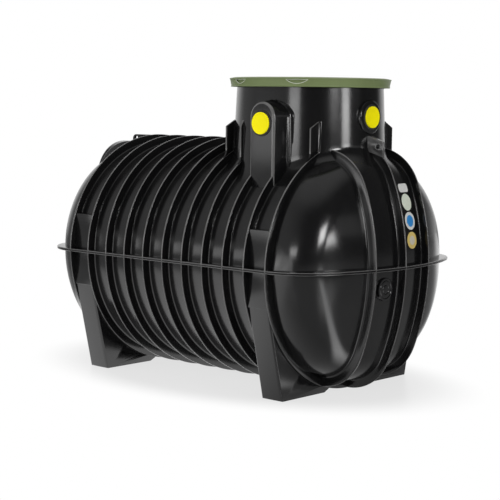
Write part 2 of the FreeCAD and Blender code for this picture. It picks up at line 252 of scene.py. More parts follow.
def label_film(name, colour):
    """Printed film: plain colour, slightly faded and scuffed."""
    material, wire = finish_tree(name)
    place = wire.node("ShaderNodeTexCoord", out=3)
    scuffs = noise(wire, place, scale=90.0, detail=4.0, roughness=0.65)
    faded = scuffs.between(0.3, 0.8).mixed(colour, scaled(colour, 0.86))
    bump = wire.node("ShaderNodeBump", {}, {"Strength": 0.1, "Distance": 0.002, "Height": scuffs})
    sockets = {"Base Color": faded, "Roughness": scuffs * 0.2 + 0.35, "Normal": bump}
    surface(wire, wire.node("ShaderNodeBsdfPrincipled", {}, sockets))
    return material


def shell_finish():
    """The shell's black plastic, made once."""
    colours = bpy.context.scene.tank_colours
    known = bpy.data.materials.get("shell_plastic")
    return known or moulded_plastic(
        "shell_plastic", colours.shell, colours.dust, colours.wear_and_highlight_tone,
        dust_share=0.05, rough=0.17, spec=0.5, peel=0.0006)


def seal_finish():
    """The frame's own plain rubber, which has this name, or one made here where the frame has none."""
    colours = bpy.context.scene.tank_colours
    known = bpy.data.materials.get("seal_rubber")
    return known or moulded_plastic(
        "seal_rubber", colours.seal, colours.dust, colours.wear_and_highlight_tone,
        dust_share=0.10, rough=0.48, spec=0.3, peel=0.002)


def place_piece(bm, name, material, nodes, sharp=40):
    """Close a bmesh into a piece that rides on the tank and stands for these nodes."""
    bmesh.ops.remove_doubles(bm, verts=bm.verts, dist=WELD)
    bmesh.ops.dissolve_degenerate(bm, edges=bm.edges, dist=TINY)
    bmesh.ops.recalc_face_normals(bm, faces=bm.faces)
    mesh = bpy.data.meshes.new(name)
    bm.to_mesh(mesh)
    bm.free()
    if not mesh.polygons:
        raise RuntimeError(name + " has no faces")
    mesh.shade_smooth()
    mesh.set_sharp_from_angle(angle=math.radians(sharp))
    mesh.materials.append(material)
    piece = bpy.data.objects.new(name, mesh)
    bpy.context.scene.collection.objects.link(piece)
    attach(piece, "root")
    if nodes:
        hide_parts(*nodes)
    return piece


def shell_piece(bm, name, nodes, sharp=40):
    """Close a bmesh into a piece of the shell's plastic."""
    return place_piece(bm, name, shell_finish(), nodes, sharp)


def cut_away(piece, cutter_bm, sharp=35):
    """Cut a temporary solid out of a piece."""
    bmesh.ops.recalc_face_normals(cutter_bm, faces=cutter_bm.faces)
    mesh = bpy.data.meshes.new("cutter")
    cutter_bm.to_mesh(mesh)
    cutter_bm.free()
    cutter = bpy.data.objects.new("cutter", mesh)
    bpy.context.scene.collection.objects.link(cutter)
    modifier = piece.modifiers.new("cut", "BOOLEAN")
    modifier.operation = "DIFFERENCE"
    modifier.solver = "EXACT"
    modifier.object = cutter
    bpy.context.view_layer.update()
    evaluated = piece.evaluated_get(bpy.context.evaluated_depsgraph_get())
    result = bpy.data.meshes.new_from_object(evaluated)
    piece.modifiers.remove(modifier)
    old = piece.data
    piece.data = result
    result.name = piece.name
    bpy.data.meshes.remove(old)
    bpy.data.objects.remove(cutter)
    bpy.data.meshes.remove(mesh)
    result.shade_smooth()
    result.set_sharp_from_angle(angle=math.radians(sharp))


def bored(piece, radius, depth, place, segments):
    """Cut a round opening through a piece, about the Z axis of its place."""
    rod = bmesh.new()
    bmesh.ops.create_cone(rod, cap_ends=True, segments=segments, radius1=radius, radius2=radius,
                          depth=depth, matrix=place)
    cut_away(piece, rod)


def shaft_mouth(piece, sizes):
    """Open the upper shell under the access shaft, a little inside the shaft's foot."""
    lap, below_top, middle = 0.004, 0.2, FLANGE_Z + 0.9
    radius = sizes.shaft_radius + sizes.shaft_draft * below_top - lap
    bored(piece, radius, 1.4, Matrix.Translation((LID_MIDDLE.x, 0, middle)), segments=128)


def outline(points):
    """A bmesh with one flat face through these points."""
    bm = bmesh.new()
    bm.faces.new([bm.verts.new(p) for p in points])
    return bm


def round_corners(bm, chosen, radius, segments):
    verts = [v for v in bm.verts if chosen(v.co)]
    bmesh.ops.bevel(bm, geom=verts, offset=radius, offset_type="OFFSET", segments=segments, profile=0.5,
                    affect="VERTICES", material=-1)


def round_edges(bm, edges, radius, segments):
    """Round these edges and give back the faces of the rounding."""
    made = bmesh.ops.bevel(bm, geom=edges, offset=radius, offset_type="OFFSET", segments=segments,
                           profile=0.5, affect="EDGES", clamp_overlap=True, material=-1)
    return made["faces"]


def shift(bm, step):
    bmesh.ops.translate(bm, vec=step, verts=bm.verts)


def half_turn(bm):
    """Turn a mesh to face the other end."""
    bmesh.ops.rotate(bm, cent=ORIGIN, matrix=Matrix.Rotation(math.pi, 3, "Z"), verts=bm.verts)


def pulled(bm, step, keep=True):
    """Pull the faces out by a step into a closed solid and give back the points that moved."""
    grown = bmesh.ops.extrude_face_region(bm, geom=bm.faces[:], use_keep_orig=keep)
    moved = [g for g in grown["geom"] if isinstance(g, bmesh.types.BMVert)]
    bmesh.ops.translate(bm, vec=step, verts=moved)
    return moved


def paint_wear_and_highlight(bm, verts, amount=1.0):
    """Mark these points for the paler edge tone, a painted highlight with some wear, which the shell's finish
    shows.
    """
    bm.verts.index_update()
    places = [v.index for v in verts]
    wear_and_highlight = bm.verts.layers.float.get("wear_and_highlight") or bm.verts.layers.float.new("wear_and_highlight")
    bm.verts.ensure_lookup_table()
    for index in places:
        bm.verts[index][wear_and_highlight] = amount


def paint_rounding_highlight(bm, faces):
    """Mark the middle of a rounded edge for the paler tone, a painted highlight along it, clear of the flat
    faces beside it.
    """
    rounded = set(faces)
    paint_wear_and_highlight(bm, {v for f in faces for v in f.verts if all(g in rounded for g in v.link_faces)})


def split_long(bm, longest):
    """Divide the outline's long edges evenly."""
    for edge in list(bm.edges):
        cuts = int(edge.calc_length() / longest)
        if cuts:
            bmesh.ops.subdivide_edges(bm, edges=[edge], cuts=cuts)


def drop_faces(bm):
    bmesh.ops.delete(bm, geom=list(bm.faces), context="FACES_ONLY")


def drawn_out(bm, step, count):
    """Draw the outline out in straight steps."""
    drop_faces(bm)
    bmesh.ops.spin(bm, geom=list(bm.verts) + list(bm.edges), cent=ORIGIN, axis=UPRIGHT, dvec=step,
                   angle=0.0, steps=count, use_duplicate=False)


def turned(bm, centre, axis, angle, count):
    """Turn the outline about an axis, all the way round or part of it."""
    drop_faces(bm)
    whole = angle > FULL_TURN - TINY
    bmesh.ops.spin(bm, geom=list(bm.verts) + list(bm.edges), cent=centre, axis=axis, dvec=ORIGIN,
                   angle=angle, steps=count, use_merge=whole, use_duplicate=False)


def close_ends(bm):
    edges = [e for e in bm.edges if e.is_boundary]
    bmesh.ops.holes_fill(bm, edges=edges, sides=0)


def wrapped(bm, place):
    """Carry every point of the mesh to its place."""
    for vert in bm.verts:
        vert.co = place(vert.co)


def cut_plane(bm, point, normal, clear=False):
    """Cut the mesh along a plane and keep both sides, or clear the one that the normal points to."""
    bmesh.ops.bisect_plane(bm, geom=bm.verts[:] + bm.edges[:] + bm.faces[:], dist=TINY, plane_co=point,
                           plane_no=normal, clear_outer=clear)


def ring_pitch(sizes):
    """Spacing of the ring ribs along the barrel."""
    return (2 * BARREL_HALF - sizes.rib_thick) / (sizes.rib_count - 1)


def rib_comb(first, last, ribs, sizes, inner_first, inner_last, wear_and_highlight):
    """Flat outline of a wall with ribs: across in x, height over the wall in y."""
    half = sizes.rib_thick / 2
    root = half + sizes.rib_draft
    points = [Vector((first, 0, 0))] if first < ribs[0] - root - TINY else []
    for rib in ribs:
        points += [Vector((rib - root, 0, 0)), Vector((rib - half, sizes.rib_height, 0))]
        points += [Vector((rib + half, sizes.rib_height, 0)), Vector((rib + root, 0, 0))]
    if last > ribs[-1] + root + TINY:
        points.append(Vector((last, 0, 0)))
    points += [Vector((inner_last, -sizes.wall, 0)), Vector((inner_first, -sizes.wall, 0))]
    bm = outline(points)
    round_corners(bm, lambda p: p.y > sizes.rib_height - TINY, sizes.rib_round, segments=5)
    round_corners(bm, lambda p: abs(p.y) < TINY and first + TINY < p.x < last - TINY, sizes.rib_fillet,
                  segments=6)
    # The rib tips take the paler edge tone: a painted highlight line, with some wear.
    tip = sizes.rib_height - 0.6 * sizes.rib_round
    paint_wear_and_highlight(bm, [v for v in bm.verts if v.co.y > tip], wear_and_highlight)
    return bm


def knuckle_middle(sizes):
    return HALF_WIDTH - sizes.knuckle


def crown_arc(sizes):
    """Radius, centre and edge angle of the shallow middle of an end."""
    depth = END_X - BARREL_HALF
    side = knuckle_middle(sizes)
    radius = (depth ** 2 + side ** 2 - sizes.knuckle ** 2) / (2 * (depth - sizes.knuckle))
    centre = END_X - radius
    return radius, centre, math.atan2(side, BARREL_HALF - centre)


def end_reach(sizes, r, drop):
    """How far along the axis the end reaches at radius r, drop under the rib tips."""
    radius, centre, tilt = crown_arc(sizes)
    if r < (radius - drop) * math.sin(tilt):
        return centre + math.sqrt((radius - drop) ** 2 - r ** 2)
    side = r - knuckle_middle(sizes)
    return BARREL_HALF + math.sqrt(max((sizes.knuckle - drop) ** 2 - side ** 2, 0.0))


def end_point(sizes, y, rise, drop):
    """Point of the unsqueezed end at y across and rise over the flange plane."""
    r = math.sqrt(y * y + rise * rise)
    return Vector((end_reach(sizes, r, drop), y, rise))


def wall_radius(sizes, x, drop):
    """Radius of the shell at x along the axis."""
    over = abs(x) - BARREL_HALF
    if over <= 0:
        return HALF_WIDTH - drop
    return knuckle_middle(sizes) + math.sqrt(max((sizes.knuckle - drop) ** 2 - over ** 2, 0.0))


def wall_height(sizes, x, y, drop):
    """Height of the upper shell over the floor at x, y."""
    r = wall_radius(sizes, x, drop)
    return FLANGE_Z + UPPER_SQUEEZE * math.sqrt(max(r * r - y * y, 0.0))


def squeezed(bm, upper):
    """Press the half to its height and set it on the flange plane."""
    scale = UPPER_SQUEEZE if upper else -LOWER_SQUEEZE
    bmesh.ops.scale(bm, vec=(1, 1, scale), verts=bm.verts)
    shift(bm, (0, 0, FLANGE_Z))


class TANK_OT_barrel(bpy.types.Operator):
    """Turn the two ribbed barrel halves"""

    bl_idname = "tank.barrel"
    bl_label = "Barrel Halves"

    def execute(self, context):
        sizes = context.scene.tank_sizes
        pitch = ring_pitch(sizes)
        ribs = [(i - (sizes.rib_count - 1) / 2) * pitch for i in range(sizes.rib_count)]
        for upper, half, wear_and_highlight in HALVES:
            bm = rib_comb(-BARREL_HALF, BARREL_HALF, ribs, sizes, -BARREL_HALF, BARREL_HALF, wear_and_highlight)
            shift(bm, (0, HALF_WIDTH - sizes.rib_height, 0))
            turned(bm, ORIGIN, ALONG, math.pi, sizes.turn_steps)
            close_ends(bm)
            squeezed(bm, upper)
            piece = shell_piece(bm, "barrel_" + half, [half + "_barrel"])
            if upper:
                shaft_mouth(piece, sizes)
        return {"FINISHED"}


class TANK_OT_ends(bpy.types.Operator):
    """Draw the ribbed section of each domed end up over its crown and knuckle"""

    bl_idname = "tank.ends"
    bl_label = "Domed Ends"

    def execute(self, context):
        sizes = context.scene.tank_sizes
        wall = HALF_WIDTH - sizes.rib_height
        inner = wall - sizes.wall
        ribs = [k * sizes.end_rib_pitch for k in (-1, 0, 1)]
        steps = sizes.turn_steps * 3 // 4
        for upper, half, wear_and_highlight in HALVES:
            plump = sizes.upper_plump if upper else sizes.lower_plump

            def on_end(p):
                across = (abs(p.x) - sizes.end_rib_pitch) / (wall - sizes.end_rib_pitch)
                swell = math.sin(math.pi * min(max(across, 0.0), 1.0)) ** 2
                lift = plump * swell * math.sin(min(max(p.z, 0.0), math.pi / 2)) ** 0.5
                drop = sizes.rib_height - p.y - lift
                reach = HALF_WIDTH - drop
                rise = math.sqrt(max(reach * reach - p.x * p.x, 0.0)) * math.sin(p.z)
                return end_point(sizes, p.x, rise, drop)

            for end in ("front", "rear"):
                bm = rib_comb(-wall, wall, ribs, sizes, -inner, inner, wear_and_highlight)
                split_long(bm, longest=0.018)
                drawn_out(bm, Vector((0, 0, 0.5 * math.pi / steps)), steps)
                close_ends(bm)
                wrapped(bm, on_end)
                squeezed(bm, upper)
                if end == "rear":
                    half_turn(bm)
                piece = shell_piece(bm, "end_" + half + "_" + end, [half + "_" + end + "_end"])
                if upper and end == "front":
                    shaft_mouth(piece, sizes)
        return {"FINISHED"}


def plan_path(sizes, t, drop):
    """Plan outline of the tank, drop inside the rib tips, once round for t from 0 to 4."""
    quarter = int(t) % 4
    u = t - int(t)
    if quarter % 2:
        u = 1 - u
    radius, centre, tilt = crown_arc(sizes)
    crown = radius * tilt
    knuckle = sizes.knuckle * (math.pi / 2 - tilt)
    s = u * (crown + knuckle + BARREL_HALF)
    if s < crown:
        a = s / radius
        x, y = centre + (radius - drop) * math.cos(a), (radius - drop) * math.sin(a)
    elif s < crown + knuckle:
        a = tilt + (s - crown) / sizes.knuckle
        x = BARREL_HALF + (sizes.knuckle - drop) * math.cos(a)
        y = knuckle_middle(sizes) + (sizes.knuckle - drop) * math.sin(a)
    else:
        x, y = BARREL_HALF - (s - crown - knuckle), HALF_WIDTH - drop
    return Vector((x if quarter in (0, 3) else -x, y if quarter < 2 else -y, 0))


class TANK_OT_flange(bpy.types.Operator):
    """Run the two weld flange plates round the tank"""

    bl_idname = "tank.flange"
    bl_label = "Weld Flange"

    def execute(self, context):
        sizes = context.scene.tank_sizes
        thick = high("upper_flange").z - FLANGE_Z
        inner = sizes.rib_height + sizes.wall / 2
        band = thick * 0.42
        count, seam = 360, 1e-4

        def on_path(p):
            once = 0.0 if p.z >= 4 - seam else max(p.z, 0.0)
            point = plan_path(sizes, once, p.x)
            return Vector((point.x, point.y, p.y))

        for upper, half, _ in HALVES:
            base = FLANGE_Z if upper else FLANGE_Z - thick
            edge = base + thick if upper else base
            corners = ((0, base), (0, base + thick), (inner, base + thick), (inner, base))
            bm = outline([Vector((drop, z, 0)) for drop, z in corners])
            round_corners(bm, lambda p: p.x < TINY, thick * 0.45, segments=5)
            # The plates' outer edges take the paler edge tone: painted highlight lines.
            paint_wear_and_highlight(bm, [v for v in bm.verts if v.co.x < band and abs(v.co.y - edge) < band])
            drawn_out(bm, Vector((0, 0, 4 / count)), count)
            wrapped(bm, on_path)
            shell_piece(bm, "flange_" + half, [half + "_flange"])
        return {"FINISHED"}


class TANK_OT_shaft(bpy.types.Operator):
    """Turn the access shaft and let its base flow into the crown"""

    bl_idname = "tank.shaft"
    bl_label = "Access Shaft"

    def execute(self, context):
        sizes = context.scene.tank_sizes
        fillet = sizes.shaft_fillet
        wall, toe, count = 0.009, -0.02, 192
        corners = ((fillet, 0), (0, 0), (0, 1), (-wall, 1), (-wall, toe), (fillet, toe))
        bm = outline([Vector((x, y, 0)) for x, y in corners])
        round_corners(bm, lambda p: abs(p.x) < TINY and abs(p.y) < TINY, fillet * 0.98, segments=10)
        split_long(bm, longest=0.05)
        drawn_out(bm, Vector((0, 0, FULL_TURN / count)), count)

        def radius_at(z):
            return sizes.shaft_radius + sizes.shaft_draft * (SHAFT_TOP - z)

        def crown_at(angle, radius):
            x = LID_MIDDLE.x + radius * math.cos(angle)
            return wall_height(sizes, x, radius * math.sin(angle), sizes.rib_height)

        def on_shaft(p):
            base = crown_at(p.z, sizes.shaft_radius)
            base = crown_at(p.z, radius_at(base))
            if p.y > fillet:
                share = (p.y - fillet) / (1 - fillet)
                z = (base + fillet) * (1 - share) + SHAFT_TOP * share
                radius = radius_at(z) + p.x
            else:
                radius = radius_at(base + p.y) + p.x
                z = crown_at(p.z, radius) + p.y
            return Vector((LID_MIDDLE.x + radius * math.cos(p.z), radius * math.sin(p.z), z))

        wrapped(bm, on_shaft)
        shell_piece(bm, "shaft", ["access_shaft"])
        return {"FINISHED"}


def pocket_moon(width, height, ledge):
    """Flat half moon of a finger pocket, its straight edge up at the ledge."""
    radius = (width ** 2 / 4 + height ** 2) / (2 * height)
    place = Matrix.Translation((0, 0, ledge - height + radius)) @ Matrix.Rotation(math.pi / 2, 4, "Y")
    bm = bmesh.new()
    bmesh.ops.create_circle(bm, cap_ends=True, segments=128, radius=radius, matrix=place)
    cut_plane(bm, (0, 0, ledge), UPRIGHT, clear=True)
    return bm


def highlight_lip_ring(bm, about, radius, name, finish):
    """A thin lip round a finger pocket, bent to the rim; its pale colour is a painted highlight along the
    pocket's edge.
    """
    width, proud, clear = 0.0022, 0.0035, 0.0015
    split_long(bm, longest=0.006)
    ring = bmesh.ops.inset_region(bm, faces=bm.faces[:], thickness=width, use_even_offset=True,
                                  use_boundary=True)
    keep = set(ring["faces"])
    bmesh.ops.delete(bm, geom=[f for f in bm.faces if f not in keep], context="FACES")
    pulled(bm, (proud, 0, 0))
    wrapped(bm, lambda p: Vector((math.sqrt((radius + clear + p.x) ** 2 - p.y ** 2), p.y, p.z)))
    bmesh.ops.transform(bm, matrix=about, verts=bm.verts)
    place_piece(bm, name, finish, [])


class TANK_OT_lid(bpy.types.Operator):
    """Turn the lid with its lipped rim and cut the finger pockets"""

    bl_idname = "tank.lid"
    bl_label = "Lid"

    def execute(self, context):
        colours = context.scene.tank_colours
        bottom, top = low("lid").z, high("lid").z
        brim = top - 0.010
        lip, bead = 0.005, 0.0028
        skirt = LID_R - 0.010
        inside = skirt - 0.018
        face_low, face_high = skirt + 0.001, LID_R - 0.0025
        corners = (
            (inside, bottom), (skirt + bead, bottom), (skirt + bead, bottom + lip),
            (face_low, bottom + lip + bead), (face_high, brim - lip - bead), (LID_R, brim - lip),
            (LID_R, brim), (LID_R - 0.006, brim + 0.001), (LID_R - 0.024, brim + 0.005),
            (LID_R - 0.16, brim + 0.0075), (0, top), (0, SHAFT_TOP), (inside, SHAFT_TOP))
        bm = outline([Vector((r, 0, z)) for r, z in corners])
        round_corners(bm, lambda p: p.x > skirt - 0.03, radius=0.0011, segments=3)
        turned(bm, ORIGIN, UPRIGHT, FULL_TURN, count=192)
        shift(bm, (LID_MIDDLE.x, 0, 0))
        settled = (0.30, 0.30, 0.24, 1)
        green = moulded_plastic(
            "lid_plastic", colours.lid, settled, colours.lid,
            dust_share=0.22, rough=0.42, spec=0.2, peel=0.0012)
        # The pale lip finish is a painted highlight along the pockets' edges.
        pale = moulded_plastic(
            "lid_lip_highlight_paint", (0.66, 0.70, 0.58, 1), settled, colours.lid,
            dust_share=0.10, rough=0.30, spec=0.5, peel=0.0008)
        piece = place_piece(bm, "lid", green, ["lid"])
        floor_r, way_out = skirt - 0.008, 0.05
        for side in (-1, 1):
            for turn in (-20, 30):
                heading = Matrix.Rotation(math.radians(side * 90 + turn), 4, "Z")
                about = Matrix.Translation((LID_MIDDLE.x, 0, 0)) @ heading
                moon = pocket_moon(width=0.125, height=0.024, ledge=brim - 0.007)
                highlight_lip_ring(moon.copy(), about, skirt, "lid_lip_" + str(side + 2) + "_" + str(turn + 30), pale)
                shift(moon, (floor_r, 0, 0))
                pulled(moon, (way_out, 0, 0), keep=False)
                bmesh.ops.transform(moon, matrix=about, verts=moon.verts)
                cut_away(piece, moon)
        return {"FINISHED"}


def soft_copy(node, radius, segments=3, shortest=0.03, wear_and_highlight=True):
    """A copy of a solid's flat faces with its straight edges rounded, the roundings marked with the paler
    edge tone, a painted highlight, unless told not to.
    """
    bm = bmesh.new()
    bm.from_mesh(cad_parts[node].data)
    bmesh.ops.remove_doubles(bm, verts=bm.verts, dist=WELD)
    bmesh.ops.dissolve_limit(bm, angle_limit=math.radians(1), verts=bm.verts, edges=bm.edges)
    edges = [e for e in bm.edges if len(e.link_faces) == 2 and e.calc_face_angle(0) > math.radians(20)]
    edges = [e for e in edges if e.is_convex and e.calc_length() > shortest]
    rounding = round_edges(bm, edges, radius, segments)
    if wear_and_highlight:
        paint_rounding_highlight(bm, rounding)
    return bm


def sliced(bm, first, last, count):
    """Cut rows across a mesh, evenly from first to last in y."""
    for row in range(count):
        cut_plane(bm, (0, first + (last - first) * row / (count - 1), 0), ACROSS)


def root_swell(sizes, point, radius):
    """How far a wall swells out where it runs into the shaft, as a fillet of this radius."""
    shaft = sizes.shaft_radius + sizes.shaft_draft * (SHAFT_TOP - point.z)
    clear = math.hypot(point.x - LID_MIDDLE.x, point.y) - shaft
    if clear > radius:
        return 0.0
    return radius - math.sqrt(max(radius ** 2 - (radius - max(clear, 0.0)) ** 2, 0.0))


class TANK_OT_fins(bpy.types.Operator):
    """Round the edges of the fins beside the shaft and fillet their roots"""

    bl_idname = "tank.fins"
    bl_label = "Shaft Fins"

    def execute(self, context):
        sizes = context.scene.tank_sizes
        edge_round, root_fillet, margin = 0.0024, 0.009, 0.04
        for side in ("near", "far"):
            for spot in ("front", "middle", "rear"):
                node = "fin_" + side + "_" + spot
                fin_low, fin_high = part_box(node)
                middle = (fin_low.x + fin_high.x) / 2
                bm = soft_copy(node, edge_round)
                # The fins' edges take the paler edge tone: a painted highlight.
                paint_wear_and_highlight(bm, [v for v in bm.verts if all(abs(f.normal.x) < 0.95 for f in v.link_faces)])
                root = math.sqrt(sizes.shaft_radius ** 2 - (middle - LID_MIDDLE.x) ** 2)
                root = -root if side == "near" else root
                sliced(bm, root - margin, root + margin, count=17)

                def on_root(p):
                    swell = root_swell(sizes, p, root_fillet)
                    return Vector((p.x + math.copysign(swell, p.x - middle), p.y, p.z))

                wrapped(bm, on_root)
                shell_piece(bm, "shaft_" + node, [node])
        return {"FINISHED"}


class TANK_OT_lugs(bpy.types.Operator):
    """Round the edges of the lifting lugs and bore the front one"""

    bl_idname = "tank.lugs"
    bl_label = "Lifting Lugs"

    def execute(self, context):
        sizes = context.scene.tank_sizes
        shell_piece(soft_copy("rear_lug", radius=0.0030), "lifting_lug_rear", ["rear_lug"])

        lug_low, lug_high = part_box("front_lug")
        half = lug_high.y
        root, tip, nose = lug_low.x - 0.012, lug_high.x, lug_high.z - 0.030
        corners = ((root, lug_low.z + 0.035), (tip, lug_low.z), (tip, nose), (root + 0.022, lug_high.z),
                   (root, lug_high.z))
        bm = outline([Vector((x, -half, z)) for x, z in corners])
        round_corners(bm, lambda p: p.x > tip - TINY and p.z > nose - TINY, radius=0.006, segments=4)
        pulled(bm, (0, 2 * half, 0))
        bmesh.ops.recalc_face_normals(bm, faces=bm.faces)
        rims = [e for e in bm.edges if abs(e.verts[0].co.y - e.verts[1].co.y) < TINY]
        round_edges(bm, rims, radius=0.0025, segments=3)
        # The whole front lug takes the paler edge tone: a painted highlight over it.
        paint_wear_and_highlight(bm, list(bm.verts), amount=0.9)
        wrapped(bm, lambda p: Vector((p.x, p.y * (1 + sizes.lug_draft * (tip - p.x) / half), p.z)))
        piece = shell_piece(bm, "lifting_lug_front", ["front_lug"])
        hole = Matrix.Translation((tip - 0.030, 0, lug_high.z - 0.057)) @ Matrix.Rotation(math.pi / 2, 4, "X")
        bored(piece, radius=0.014, depth=0.2, place=hole, segments=48)
        return {"FINISHED"}


def cheek_plate(corner):
    """The flat plate that stands a little proud under the flange, over the top of a foot."""
    proud, deep, tall = 0.006, 0.05, 0.2
    pad_low, pad_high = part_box("pad_" + corner)
    near = corner.endswith("near")
    outer = pad_low.y - proud if near else pad_high.y + proud
    inner = outer + deep if near else outer - deep
    top, bottom = low("lower_flange").z, FLANGE_Z - tall
    bm = bmesh.new()
    bmesh.ops.create_cube(bm, size=1.0)
    spread = (pad_high.x - pad_low.x + proud, abs(inner - outer), top - bottom)
    bmesh.ops.scale(bm, vec=spread, verts=bm.verts)
    shift(bm, ((pad_low.x + pad_high.x) / 2, (inner + outer) / 2, (top + bottom) / 2))
    round_edges(bm, bm.edges[:], radius=0.005, segments=4)
    shell_piece(bm, "foot_cheek_" + corner, [])


class TANK_OT_feet(bpy.types.Operator):
    """Round the edges of the feet and of the pads over them"""

    bl_idname = "tank.feet"
    bl_label = "Feet and Pads"

    def execute(self, context):
        for corner in CORNERS:
            foot, pad = "foot_" + corner, "pad_" + corner
            bm = soft_copy(foot, radius=0.014, segments=5, shortest=0.02, wear_and_highlight=False)
            shell_piece(bm, "standing_" + foot, [foot])
            cheek_plate(corner)
            bm = soft_copy(pad, radius=0.005, segments=4, shortest=0.05, wear_and_highlight=False)
            shell_piece(bm, "side_" + pad, [pad])
        return {"FINISHED"}


def turned_fitting(corners, rounding, segments, steps=96):
    """A round fitting about the X axis from its corners, given as radius and reach."""
    bm = outline([Vector((reach, radius, 0)) for radius, reach in corners])
    round_corners(bm, lambda p: p.y > TINY, rounding, segments)
    turned(bm, ORIGIN, ALONG, FULL_TURN, steps)
    return bm


def set_at(bm, point, side):
    """Set a fitting made about X at its place, facing the end or the near side."""
    turn = Matrix.Rotation(-math.pi / 2, 4, "Z") if side else Matrix.Identity(4)
    bmesh.ops.transform(bm, matrix=Matrix.Translation(point) @ turn, verts=bm.verts)


def inlet_tower(sizes, face):
    """The arched housing behind the side inlet's face, splayed and filleted where it meets the shaft."""
    depth, splay, edge_round, root_fillet, lap = 0.13, 0.2, 0.013, 0.013, 0.003
    half = (ring_pitch(sizes) + sizes.rib_thick) / 2 + lap
    top = high("inlet_housing").z
    bottom = wall_height(sizes, face.x, face.y, sizes.rib_height) - 0.03
    spring = top - half
    corners = ((-half, bottom), (half, bottom), (half, top), (-half, top))
    bm = outline([Vector((face.x + x, face.y, z)) for x, z in corners])
    round_corners(bm, lambda p: p.z > top - TINY, half * 0.995, segments=24)
    rim = bm.edges[:]
    back = pulled(bm, (-face.x, depth, 0))
    bmesh.ops.scale(bm, vec=((half + splay * depth) / half, 1, 1), verts=back)
    bmesh.ops.translate(bm, vec=(face.x, 0, 0), verts=back)
    bmesh.ops.recalc_face_normals(bm, faces=bm.faces)
    # The front edges' roundings take the paler edge tone: a painted highlight along them.
    paint_rounding_highlight(bm, round_edges(bm, rim, edge_round, segments=6))
    sliced(bm, face.y + 0.06, face.y + depth - 0.004, count=15)

    def on_root(p):
        outward = Vector((p.x - face.x, 0, max(p.z - spring, 0.0))).normalized()
        return p + outward * root_swell(sizes, p, root_fillet)

    wrapped(bm, on_root)
    shell_piece(bm, "inlet_tower", ["inlet_housing"], sharp=50)


class TANK_OT_inlets(bpy.types.Operator):
    """Model the inlet housing, the front boss and their sockets and caps"""

    bl_idname = "tank.inlets"
    bl_label = "Inlets"

    def execute(self, context):
        colours = context.scene.tank_colours
        side_middle = middle_of("side_socket")
        side_face = Vector((side_middle.x, high("side_socket").y, side_middle.z))
        front_face = Vector((low("front_socket").x, 0, middle_of("front_socket").z))
        inlet_tower(context.scene.tank_sizes, side_face)

        radius, deep = high("front_boss").y, 0.05
        corners = ((0, -deep), (radius, -deep), (radius, 0), (0, 0))
        bm = turned_fitting(corners, rounding=0.009, segments=4)
        set_at(bm, front_face, False)
        shell_piece(bm, "inlet_boss", ["front_boss"], sharp=50)

        seal_r, cap_r = high("front_socket").y, high("front_cap").y
        proud = high("front_socket").x - front_face.x
        reach = high("front_cap").x - front_face.x
        seal_in, seal_deep, cap_deep = cap_r - 0.004, 0.01, 0.02
        seal_corners = ((seal_in, -seal_deep), (seal_r, -seal_deep), (seal_r, proud), (seal_in, proud))
        dish, floor = cap_r - 0.006, reach - 0.0012
        cap_corners = ((0, -cap_deep), (cap_r, -cap_deep), (cap_r, reach), (dish, reach),
                       (dish - 0.002, floor), (0, floor))
        yellow = moulded_plastic(
            "cap_plastic", colours.cap, (0.80, 0.68, 0.05, 1), colours.cap,
            dust_share=0.04, rough=0.42, spec=0.12, peel=0.0008)
        for spot, face, side in (("side", side_face, True), ("front", front_face, False)):
            bm = turned_fitting(seal_corners, rounding=0.0025, segments=4)
            set_at(bm, face, side)
            place_piece(bm, "inlet_seal_" + spot, seal_finish(), [spot + "_socket"], sharp=60)
            bm = turned_fitting(cap_corners, rounding=0.0009, segments=3)
            set_at(bm, face, side)
            place_piece(bm, "inlet_cap_" + spot, yellow, [spot + "_cap"], sharp=60)
        return {"FINISHED"}


class TANK_OT_end_fittings(bpy.types.Operator):
    """Model the round stub on the rear end and the blanked pipe spot on the front end"""

    bl_idname = "tank.end_fittings"
    bl_label = "End Fittings"

    def execute(self, context):
        stub_low, stub_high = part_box("rear_stub")
        radius, deep = stub_high.y, 0.30
        corners = ((0, -deep), (radius, -deep), (radius, 0), (0, 0))
        bm = turned_fitting(corners, rounding=0.020, segments=6, steps=128)
        half_turn(bm)
        middle = (stub_low.z + stub_high.z) / 2
        shift(bm, (stub_low.x, 0, middle))
        shell_piece(bm, "rear_round_stub", ["rear_stub"], sharp=50)

        spot_low, spot_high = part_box("front_blank")
        middle = middle_of("front_blank")
        radius = (spot_high.y - spot_low.y) / 2
        deep, groove = 0.06, 0.0022
        corners = ((0, -deep), (radius, -deep), (radius, 0))
        for outer, inner in ((0.80, 0.72), (0.42, 0.34)):
            corners += ((radius * outer, 0), (radius * outer - groove, -groove),
                        (radius * inner + groove, -groove), (radius * inner, 0))
        corners += ((0, 0),)
        bm = turned_fitting(corners, rounding=0.0009, segments=3)
        set_at(bm, Vector((spot_high.x, middle.y, middle.z)), False)
        shell_piece(bm, "front_blanked_spot", ["front_blank"], sharp=50)
        return {"FINISHED"}


def label_blank(radius, tall):
    """Flat film of a label, a disc or a rounded rectangle, ringed so that it can bend."""
    if tall:
        bm = outline([Vector((x * radius, y * tall, 0)) for x, y in ((-1, -1), (1, -1), (1, 1), (-1, 1))])
        round_corners(bm, lambda p: True, tall * 0.7, segments=8)
        split_long(bm, longest=0.012)
    else:
        bm = bmesh.new()
        bmesh.ops.create_circle(bm, cap_ends=True, segments=64, radius=radius)
    for _ in range(4):
        largest = max(bm.faces, key=lambda f: f.calc_area())
        bmesh.ops.inset_region(bm, faces=[largest], thickness=(tall or radius) * 0.15, use_boundary=True)
    return bm


